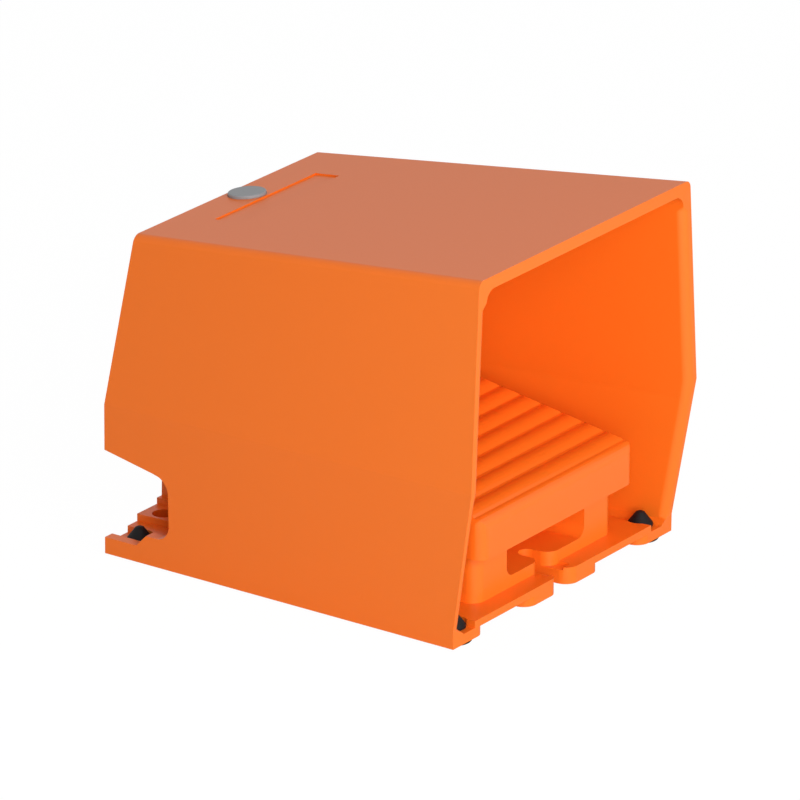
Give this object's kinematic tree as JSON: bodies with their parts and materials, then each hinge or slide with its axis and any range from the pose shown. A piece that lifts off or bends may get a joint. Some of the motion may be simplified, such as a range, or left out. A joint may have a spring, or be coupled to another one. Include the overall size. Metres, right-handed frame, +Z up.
{
  "type": "foot switch",
  "caption": "Industrial foot switch: hooded base moulding, sprung ribbed pedal, contact block, cable entry and a release button in the hood's top.",
  "frame": {"origin": "centre of the footprint, on the floor under the rubber feet", "axes": "+X to the right seen from the operator, +Y to the rear (cable end), +Z up"},
  "size_m": [0.1482, 0.1662, 0.1372],
  "materials": {
    "hood_plastic": "satin moulded orange plastic, fine grain",
    "pedal_plastic": "satin moulded orange plastic",
    "steel": "bright steel",
    "bush_plastic": "plain acetal",
    "spring_steel": "oiled spring steel",
    "plunger_plastic": "natural acetal",
    "rubber": "matt black rubber",
    "block_plastic": "black glass-filled plastic",
    "contact_metal": "brass with silver tips",
    "plated_steel": "zinc-plated steel",
    "button_plastic": "satin grey plastic"
  },
  "bodies": {
    "base": {"hooded_base": "hood_plastic", "hinge_pin": "steel", "pin_clips": "spring_steel", "plunger_guide": "bush_plastic", "plunger_wiper": "rubber", "contact_block": "block_plastic", "contact_block_lid": "block_plastic", "fixed_contacts": "contact_metal", "terminal_clamps": "plated_steel", "terminal_screws": "plated_steel", "block_screws": "plated_steel", "bottom_cover": "hood_plastic", "cover_gasket": "rubber", "cover_screws": "plated_steel", "rubber_feet": "rubber", "latch_pin": "steel", "return_springs": "spring_steel", "contact_spring": "spring_steel", "release_spring": "spring_steel", "latch_spring": "spring_steel"},
    "pedal": {"pedal": "pedal_plastic", "hinge_bushes": "bush_plastic"},
    "plunger": {"plunger": "plunger_plastic", "contact_carrier": "plunger_plastic", "moving_bridges": "contact_metal"},
    "button": {"release_button": "button_plastic", "release_clip": "spring_steel", "push_rod": "steel"},
    "latch": {"latch_lever": "plunger_plastic"}
  },
  "joints": [
    {"name": "pedal_hinge", "type": "hinge", "parent": "base", "child": "pedal", "pos_m": [0, -0.05645, 0.033], "axis": [-1, 0, 0], "range_deg": [0, 8], "stiffness_Nm_per_rad": 6, "springref_deg": -5.73, "deforming": ["return_springs"]},
    {"name": "plunger_slide", "type": "slide", "parent": "base", "child": "plunger", "axis": [0, 0, -1], "range_m": [0, 0.00643], "stiffness_N_per_m": 400, "springref_m": -0.002, "deforming": ["contact_spring"]},
    {"name": "button_slide", "type": "slide", "parent": "base", "child": "button", "axis": [0, -0.0887, -0.9961], "range_m": [0, 0.0025], "stiffness_N_per_m": 1500, "springref_m": -0.002, "deforming": ["release_spring"]},
    {"name": "latch_hinge", "type": "hinge", "parent": "base", "child": "latch", "pos_m": [0, 0.04879, 0.044], "axis": [-1, 0, 0], "range_deg": [0, 25.3], "stiffness_Nm_per_rad": 0.02, "springref_deg": -17.19, "deforming": ["latch_spring"]}
  ],
  "couplings": [
    {"joint": "plunger_slide", "follows": "pedal_hinge", "m_per_rad": 0.046},
    {"joint": "latch_hinge", "follows": "button_slide", "rad_per_m": 176}
  ]
}
